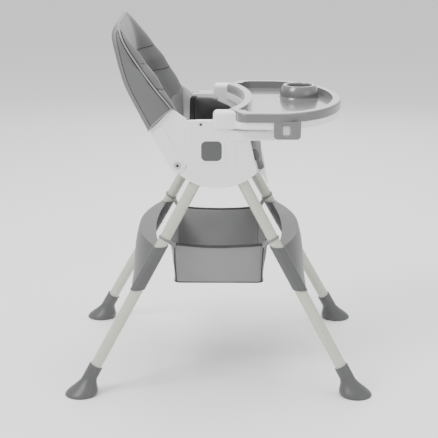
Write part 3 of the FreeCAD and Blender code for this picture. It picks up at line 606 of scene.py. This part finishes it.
def make_cover(sizes, mats):
    loops = cover_loops(sizes)
    lip = [p.lerp(sum((q for q in loops[0]), Vector()) / len(loops[0]), 0.03) + mm(-2, 0, 9) for p in loops[0]]
    cover = loft("backrest_cover_soft", [lip] + loops, cap_start=True, cap_end=True)
    shape_cover(cover, sizes)
    dress(cover, mats["cover"])
    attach(cover, "backrest")
    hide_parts("backrest_cover")
    return cover


def make_cover_trim(cover, sizes, mats):
    """Welts with painted groove shade beside them, hems, sewn channels and stitch rows of the cover."""
    tree = surface_of(cover)
    pieces = []
    piped = spline([(x * MM, 0, z * MM) for x, z in PIPED], 60)
    right = [Vector((p.x, -0.99 * half_width(p.z, sizes), p.z)) for p in piped]
    left = [Vector((p.x, -p.y, p.z)) for p in right]
    over = [Vector((-0.259, y, 0.9485)) for y in (-0.12, -0.06, 0.0, 0.06, 0.12)]
    whole = spline(right[::3] + over + left[::-3], 190)
    welt = tube("cover_welt", whole, sizes.welt, 10)
    pieces.append(dress(welt, mats["welt"]))
    for side, sy in SIDES:
        rows = right if sy < 0 else left
        # Two thin dark tubes beside each welt are painted shade for the grooves along the piping.
        shadow = []
        for shift_x, shift_y in ((0.0042, -0.0012), (-0.0040, 0.0008)):
            line = [p + Vector((shift_x, sy * shift_y, 0)) for p in rows[1:-3]]
            shadow.append(tube("seam", line, 0.0011, 6))
        pieces.append(dress(joined("cover_welt_groove_shade_" + side, shadow), mats["thread"]))
        hem = spline([(HEM_FRONT[0] * MM, 0, HEM_FRONT[1] * MM), (-0.158, 0, 0.713),
                      (HEM_REAR[0] * MM, 0, HEM_REAR[1] * MM)], 30)
        line = [Vector((p.x, sy * sizes.half_width * 1.003, p.z + 0.001)) for p in hem]
        pieces.append(dress(tube("cover_hem_" + side, line, 0.0022, 8), mats["welt"]))
        rear = spline([(x * MM, 0, z * MM) for x, z in REAR[:5]], 90)
        inset = [side_point(tree, p.x + 0.0125, p.z + 0.006, sy, 0.0003) for p in rear]
        inset = [p for p in inset if p is not None]
        pieces.append(stitches("cover_rear_stitches_" + side, inset, sizes.stitch, 0.0009, mats["thread"]))
        inset = [side_point(tree, p.x + 0.0085, p.z + 0.006, sy, 0.0001) for p in rear]
        inset = [p for p in inset if p is not None]
        pieces.append(dress(tube("cover_rear_seam_" + side, inset, 0.0008, 6), mats["welt"]))
    for k, (z, dip) in enumerate(SEAMS):
        line = []
        for i in range(61):
            y = sizes.half_width * 0.955 * (i / 30 - 1)
            point = front_point(tree, y, seam_height(y, z, dip, sizes), 0.0002)
            if point is not None:
                line.append(point)
        pieces.append(dress(tube("cover_channel_" + "ab"[k], line, 0.0010, 6), mats["thread"]))
    for piece in pieces:
        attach(piece, "backrest")
    return pieces


# ---------------------------------------------------------------- operators
LAMPS = (("key", (-2.2, -1.6, 3.4), 1.6, 120.0), ("fill", (2.8, -2.2, 1.4), 2.4, 22.0),
         ("top", (0.2, 0.6, 3.4), 2.2, 80.0), ("back", (0.4, 3.2, 2.0), 2.4, 30.0))    # place, size, watts


class HIGHCHAIR_OT_stage(bpy.types.Operator):
    """Floor, soft studio light and camera"""
    bl_idname = "highchair.stage"
    bl_label = "Stage"

    def execute(self, context):
        s = context.scene.studio_sizes
        floor = mesh_object("floor", [(-s.floor, -s.floor, 0), (s.floor, -s.floor, 0), (s.floor, s.floor, 0),
                                      (-s.floor, s.floor, 0)], [(0, 1, 2, 3)])
        dress(floor, finish("Floor", (0.97, 0.97, 0.97), 0.6, "grain", 40.0, 0.02, 0.0005, edge_highlight=0.0, deep=0.99))
        data = bpy.data.cameras.new("camera")
        data.lens = s.lens
        data.sensor_width = 36.0
        data.clip_end = 100.0
        camera = bpy.data.objects.new("camera", data)
        turn = Euler((math.pi / 2 - s.pitch, 0, 0)).to_matrix() @ Matrix.Rotation(s.roll, 3, "Z")
        camera.matrix_world = Matrix.Translation((0, -s.distance, s.height)) @ turn.to_4x4()
        context.scene.collection.objects.link(camera)
        context.scene.camera = camera
        for name, place, size, energy in LAMPS:
            light = bpy.data.lights.new(name, "AREA")
            light.shape = "SQUARE"
            light.size = size
            light.energy = energy
            lamp = bpy.data.objects.new(name, light)
            lamp.location = place
            aim = Vector((0, 0, 0.55)) - Vector(place)
            lamp.rotation_euler = aim.to_track_quat("-Z", "Y").to_euler()
            context.scene.collection.objects.link(lamp)
        world = bpy.data.worlds.new("studio")
        world.use_nodes = True
        sky = world.node_tree.nodes["Background"]
        sky.inputs["Color"].default_value = (1, 1, 1, 1)
        sky.inputs["Strength"].default_value = 0.95
        context.scene.world = world
        return {"FINISHED"}


MATS = {}


def make_finishes(c):
    """Every finish of the chair, by name."""
    # In every finish below, the edge settings paint a highlight on raised edges.
    MATS["shell"] = finish("White shell", c.shell, 0.34, "grain", 1400.0, 0.10, 0.0004, edge_highlight=0.25, deep=0.965,
                           Coat_Weight=0.25, Coat_Roughness=0.2)
    MATS["tray"] = finish("Tray gloss", c.tray, 0.24, "grain", 900.0, 0.05, 0.0004, edge_highlight=0.3, deep=0.95,
                          spread=0.03, Coat_Weight=0.6, Coat_Roughness=0.06)
    MATS["moulding"] = finish("Grey moulding", c.moulding, 0.42, "grain", 1100.0, 0.22, 0.0005,
                              edge_highlight=0.35, deep=0.9)
    MATS["latch"] = finish("Latch", c.latch, 0.36, "grain", 1100.0, 0.12, 0.0004)
    MATS["paint"] = finish("Leg paint", c.paint, 0.26, "grain", 1600.0, 0.08, 0.0003, edge_highlight=0.2, deep=0.95,
                           Coat_Weight=0.5, Coat_Roughness=0.12)
    MATS["steel"] = finish("Zinc steel", c.steel, 0.32, "grain", 1500.0, 0.15, 0.0003, Metallic=1.0)
    MATS["cover"] = finish("Cover leather", c.cover, 0.47, "leather", 620.0, 0.30, 0.0006, edge_highlight=0.25, deep=0.84,
                           light=1.2, Sheen_Weight=0.15, Sheen_Roughness=0.5)
    MATS["cushion"] = finish("Cushion leather", c.cushion, 0.5, "leather", 620.0, 0.35, 0.0006,
                             edge_highlight=0.3, deep=0.8, light=1.3, Sheen_Weight=0.2, Sheen_Roughness=0.5)
    MATS["welt"] = finish("Welt", c.welt, 0.45, "leather", 900.0, 0.2, 0.0004, edge_highlight=0.2, deep=0.92)
    # This finish also serves as the painted shade in the welt grooves.
    MATS["thread"] = finish("Thread", c.thread, 0.7, "weave", 1500.0, 0.3, 0.0003, deep=0.85)
    MATS["basket"] = finish("Basket cloth", c.basket, 0.8, "weave", 420.0, 0.35, 0.0005, edge_highlight=0.2, deep=0.86,
                            light=1.15, Sheen_Weight=0.3, Sheen_Roughness=0.6)
    MATS["binding"] = finish("Binding", c.binding, 0.75, "weave", 700.0, 0.4, 0.0005, deep=0.8, light=1.3)
    MATS["tape"] = finish("Loop tape", c.basket, 0.75, "weave", 700.0, 0.4, 0.0005, deep=0.7)
    MATS["webbing"] = finish("Webbing", c.webbing, 0.65, "weave", 900.0, 0.5, 0.0005, deep=0.8, light=1.5)
    MATS["buckle"] = finish("Buckle plastic", c.webbing, 0.38, "grain", 900.0, 0.2, 0.0004, light=1.6)


class HIGHCHAIR_OT_mouldings(bpy.types.Operator):
    """Finishes of the white shell, braces, feet, tray, legs and screws"""
    bl_idname = "highchair.mouldings"
    bl_label = "Mouldings and tubes"

    def execute(self, context):
        make_finishes(context.scene.chair_finishes)
        self.screw_socket_shade()
        by_slot = {"white_plastic": "shell", "tray_plastic": "tray", "grey_plastic": "moulding",
                   "latch_plastic": "latch", "ivory_paint": "paint", "steel": "steel",
                   "buckle_plastic": "buckle",
                   "cover_leather": "cover", "cushion_fabric": "cushion", "basket_fabric": "basket",
                   "webbing": "webbing"}
        for row in frame["record"]["subparts"]:
            dress(NODES[row["node"]], MATS[by_slot[row["material_slot"]]], smooth=False)
        return {"FINISHED"}

    def screw_socket_shade(self):
        """Dark discs on the heads of the pivot bolts and panel screws, painted shade for their sockets."""
        for node, radius in (("pivot_bolts", 0.0036), ("panel_screws", 0.0028)):
            low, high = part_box(node)
            x, z = (low.x + high.x) / 2, (low.z + high.z) / 2
            for side, sy in SIDES:
                face_y = (high.y if sy > 0 else low.y) + sy * 0.0002
                rim = [Vector((x + radius * math.cos(a), face_y, z + radius * math.sin(a)))
                       for a in (2 * math.pi * k / 20 for k in range(20))]
                back = [p - Vector((0, sy * 0.001, 0)) for p in rim]
                # Painted shade: a dark disc on the head's face stands in for the shaded socket.
                dot = loft(node + "_socket_shade_" + side, [back, rim], cap_start=True, cap_end=True)
                dress(dot, MATS["webbing"])
                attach(dot, "chair")


class HIGHCHAIR_OT_cover(bpy.types.Operator):
    """Padded backrest cover with its welts, seams and stitches"""
    bl_idname = "highchair.cover"
    bl_label = "Backrest cover"

    def execute(self, context):
        sizes = context.scene.cover_sizes
        cover = make_cover(sizes, MATS)
        make_cover_trim(cover, sizes, MATS)
        return {"FINISHED"}


class HIGHCHAIR_OT_cushion(bpy.types.Operator):
    """Seat cushion and calf flap, swollen as stuffed pads"""
    bl_idname = "highchair.cushion"
    bl_label = "Seat cushion"

    def execute(self, context):
        for node, name, cap, key, slot in (
                ("seat_cushion", "seat_cushion_soft", 0.006, "cushion", "cushion_fabric"),
                ("calf_flap", "calf_flap_soft", 0.004, "cover", "cover_leather")):
            pad = puffed(node, name, cap)
            dress(pad, MATS[key])
            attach(pad, "chair")
            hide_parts(node)
            self.trim(pad, node)
        self.linings()
        return {"FINISHED"}

    def linings(self):
        """Thin pads that carry the seat's bolsters back along the shell to the backrest."""
        outline = [(-86, 622), (-85, 660), (-84, 698), (-78, 707),
                   (-66, 707), (-58, 700), (-57, 660), (-58, 622)]
        middle = Vector((-0.071, 0, 0.664))
        for side, sy in SIDES:
            loops = []
            for y, share in ((0.1945, 1.0), (0.189, 1.0), (0.1865, 0.96), (0.1855, 0.86)):
                ring = [Vector((x * MM, sy * y, z * MM)) for x, z in outline]
                centre = Vector((middle.x, sy * y, middle.z))
                loops.append([centre.lerp(p, share) for p in ring])
            pad = dress(loft("seat_lining_" + side, loops, cap_start=True, cap_end=True), MATS["cushion"])
            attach(pad, "chair")

    def trim(self, pad, node):
        """A stitch row on top of each bolster, and the flap's lower welt."""
        low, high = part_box(node)
        tree = surface_of(pad)
        if node == "seat_cushion":
            for side, sy in SIDES:
                line = []
                for i in range(30):
                    x = low.x + 0.026 + (0.085) * i / 29
                    hit, normal, _, _ = tree.ray_cast(Vector((x, sy * 0.1785, 0.8)), Vector((0, 0, -1)))
                    if hit is not None:
                        line.append(hit + normal * 0.0004)
                row = stitches("cushion_stitches_" + side, line, 0.006, 0.0008, MATS["welt"])
                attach(row, "chair")
        else:
            line = []
            for i in range(41):
                y = low.y + 0.006 + (high.y - low.y - 0.012) * i / 40
                hit, normal, _, _ = tree.ray_cast(Vector((0.3, y, low.z + 0.010)), Vector((-1, 0, 0)))
                if hit is not None:
                    line.append(hit + normal * 0.0008)
            welt = dress(tube("flap_welt", line, 0.0022, 8), MATS["welt"])
            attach(welt, "chair")


class HIGHCHAIR_OT_basket(bpy.types.Operator):
    """Storage basket of woven cloth with bound edges and leg loops"""
    bl_idname = "highchair.basket"
    bl_label = "Storage basket"

    def ring(self, s, t, low, high, inset=0.0):
        """One level loop of the basket: t is 0 at the floor and 1 at the rim."""
        z = low.z + (high.z - low.z) * t
        y = (0.160 + 0.030 * t) - inset
        x = (0.118 + 0.004 * t) - inset
        bulge = (0.010 + 0.006 * t)
        r = s.corner
        points = []
        def wave(v, span):
            return max(0.0, 1 - (v / span) ** 2)
        for cx, cy, a0 in ((x - r, y - r, 0), (-x + r, y - r, 90), (-x + r, -y + r, 180), (x - r, -y + r, 270)):
            for k in range(7):
                a = math.radians(a0 + 15 * k)
                points.append(Vector((cx + r * math.cos(a), cy + r * math.sin(a), z)))
            nxt = {0: (-x + r, y), 90: (-x, -y + r), 180: (x - r, -y), 270: (x, y - r)}[a0]
            start = points[-1].copy()
            for k in range(1, 16):
                step_x, step_y = (nxt[0] - start.x) * k / 16, (nxt[1] - start.y) * k / 16
                points.append(Vector((start.x + step_x, start.y + step_y, z)))
        middle = math.sin(math.pi * min(t, 0.92))
        out = []
        for p in points:
            near_long = abs(abs(p.y) - y) < 0.002 and abs(p.x) < x
            near_end = abs(abs(p.x) - x) < 0.002 and abs(p.y) < y
            q = p.copy()
            if near_long:
                w = wave(p.x, x - r)
                q.z -= s.sag * w * t
                q.y += math.copysign(s.belly * w * middle, p.y)
            if near_end:
                w = wave(p.y, y - r)
                q.x += math.copysign((bulge * t + s.belly * middle) * w, p.x)
            q += Vector((noise.noise(q * 16), noise.noise(q * 16 + mm(900, 0, 0)), 0)) * 0.0025 * min(t * 3, 1)
            out.append(q)
        return out

    def execute(self, context):
        s = context.scene.basket_sizes
        low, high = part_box("storage_basket")
        high = Vector((high.x, high.y, high.z - 0.001))
        levels = [i / 26 for i in range(27)]
        outer = [self.ring(s, t, low, high) for t in levels]
        floor = []
        for k in (0.0, 0.35, 0.7, 0.9, 0.97):
            centre = Vector((0, 0, low.z))
            floor.append([centre.lerp(p, k) - mm(0, 0, 2.0 * (1 - k * k)) + mm(0, 0, 2.5) for p in outer[0]])
        body = loft("basket_cloth", floor + outer)
        bm = bmesh.new()
        bm.from_mesh(body.data)
        bmesh.ops.remove_doubles(bm, verts=bm.verts, dist=1e-6)
        bmesh.ops.recalc_face_normals(bm, faces=bm.faces)
        area = sum(f.calc_area() for f in bm.faces)
        bm.to_mesh(body.data)
        bm.free()
        thick = body.modifiers.new("Cloth thickness", "SOLIDIFY")
        thick.thickness = s.cloth
        thick.offset = -1
        final = bpy.data.meshes.new_from_object(body.evaluated_get(context.evaluated_depsgraph_get()))
        body.modifiers.clear()
        body.data = final
        dress(body, MATS["basket"])
        trims = [tube("rim", outer[-1], s.binding, 8, closed=True, flat=1.5),
                 tube("foot", [p + mm(0, 0, 1.5) for p in outer[0]], s.binding * 0.8, 8, closed=True)]
        for k in (3, 25, 47, 69):
            trims.append(tube("corner", [ring[k] for ring in outer], s.binding * 0.75, 8, up=Vector((1, 0, 0))))
        binding = dress(joined("basket_binding", trims), MATS["binding"])
        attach(body, "chair")
        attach(binding, "chair")
        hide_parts("storage_basket")
        self.loops(outer[-1])
        return {"FINISHED"}

    def loops(self, rim):
        for corner, sx, sy in CORNERS:
            node = "basket_strap_" + corner
            foot = Vector((sx * FOOT_X, sy * FOOT_Y, 0))
            lean = Vector((-sx * SPLAY_X, -sy * SPLAY_Y, 1))
            axis = lean.normalized()
            centre = foot + lean * LOOP_Z
            side = axis.cross(Vector((0, 0, 1))).normalized()
            over = side.cross(axis)
            radius = TUBE_D / 2 + 0.0014
            ring = [centre + (side * math.cos(a) + over * math.sin(a)) * radius
                    for a in (2 * math.pi * k / 40 for k in range(40))]
            band = tube("band", ring, 0.0011, 8, closed=True, flat=3.0, up=axis)
            end = min(rim, key=lambda p: (p - Vector((sx * 0.2, sy * 0.3, rim[0].z))).length)
            start = centre + (end - centre).normalized() * radius
            drop = start.lerp(end, 0.5) - mm(0, 0, 2)
            strap = ribbon("tab", spline([start, drop, end - mm(0, 0, 4)], 12), axis, 0.013, 0.0018)
            whole = dress(joined(node + "_tape", [band, strap]), MATS["tape"])
            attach(whole, "chair")
            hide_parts(node)


class HIGHCHAIR_OT_harness(bpy.types.Operator):
    """Webbing of the undone harness"""
    bl_idname = "highchair.harness"
    bl_label = "Harness"

    def execute(self, context):
        cover = surface_of(bpy.data.objects["backrest_cover_soft"])
        seat = surface_of(bpy.data.objects["seat_cushion_soft"])
        for side, sy in SIDES:
            node = "shoulder_strap_" + side
            low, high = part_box(node)
            y = sy * SHOULDER_Y
            line = []
            for i in range(26):
                z = high.z - (high.z - low.z - 0.02) * i / 25
                line.append(front_point(cover, y, z, 0.0018 + 0.0008 * math.sin(i * 0.7)))
            line = [p for p in line if p is not None]
            line.insert(0, line[0] + mm(-4, 0, 2.5))
            strap = ribbon("strap", line, Vector((0, 1, 0)), STRAP_W, STRAP_T)
            end = line[-1]
            tongue = ribbon("tongue", [end + mm(1.4, 0, 6), end + mm(3.0, 0, -6), end + mm(5.5, 0, -18)],
                            Vector((0, 1, 0)), 0.024, 0.0045)
            whole = dress(joined(node + "_webbing", [strap, tongue]), MATS["webbing"])
            self.place(whole, "backrest", node)
            node = "waist_strap_" + side
            line = []
            for i in range(22):
                y = sy * (0.150 - 0.112 * i / 21)
                above = Vector((-0.011 + 0.004 * math.sin(i * 0.5), y, 0.8))
                hit = seat.ray_cast(above, Vector((0, 0, -1)))[0]
                if hit is not None:
                    line.append(hit + Vector((0, 0, 0.0018)))
            strap = ribbon("strap", line, Vector((1, 0, 0)), STRAP_W, STRAP_T)
            whole = dress(joined(node + "_webbing", [strap]), MATS["webbing"])
            self.place(whole, "chair", node)
        low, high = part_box("crotch_strap")
        line = [Vector((0.0586, 0, low.z + 0.012)), Vector((0.0588, 0, 0.600)), Vector((0.0580, 0, 0.620)),
                Vector((0.0586, 0, high.z))]
        strap = ribbon("strap", spline(line, 14), Vector((0, 1, 0)), STRAP_W, 0.002)
        strap = dress(joined("crotch_strap_webbing", [strap]), MATS["webbing"])
        self.place(strap, "chair", "crotch_strap")
        return {"FINISHED"}

    def place(self, obj, body, node):
        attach(obj, body)
        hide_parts(node)


class HIGHCHAIR_PT_panel(bpy.types.Panel):
    """Lists the chair's pieces and their sizes"""
    bl_idname = "HIGHCHAIR_PT_panel"
    bl_label = "High Chair"
    bl_space_type = "VIEW_3D"
    bl_region_type = "UI"
    bl_category = "High Chair"

    def draw(self, context):
        for step in STEPS:
            self.layout.operator(step.bl_idname)
        for name in PROPERTIES:
            settings = getattr(context.scene, name)
            for key in settings.__annotations__:
                self.layout.prop(settings, key)


STEPS = (HIGHCHAIR_OT_stage, HIGHCHAIR_OT_mouldings, HIGHCHAIR_OT_cover, HIGHCHAIR_OT_cushion,
         HIGHCHAIR_OT_basket, HIGHCHAIR_OT_harness)
PROPERTIES = {"chair_finishes": ChairFinishes, "cover_sizes": CoverSizes, "basket_sizes": BasketSizes,
              "studio_sizes": StudioSizes}


def register():
    for cls in (*PROPERTIES.values(), *STEPS, HIGHCHAIR_PT_panel):
        bpy.utils.register_class(cls)
    for name, cls in PROPERTIES.items():
        setattr(bpy.types.Scene, name, PointerProperty(type=cls))


def unregister():
    for name in PROPERTIES:
        delattr(bpy.types.Scene, name)
    for cls in (HIGHCHAIR_PT_panel, *reversed(STEPS), *reversed(list(PROPERTIES.values()))):
        bpy.utils.unregister_class(cls)


def main():
    register()
    for step in STEPS:
        area, name = step.bl_idname.split(".")
        getattr(getattr(bpy.ops, area), name)()


if __name__ == "__main__":
    main()
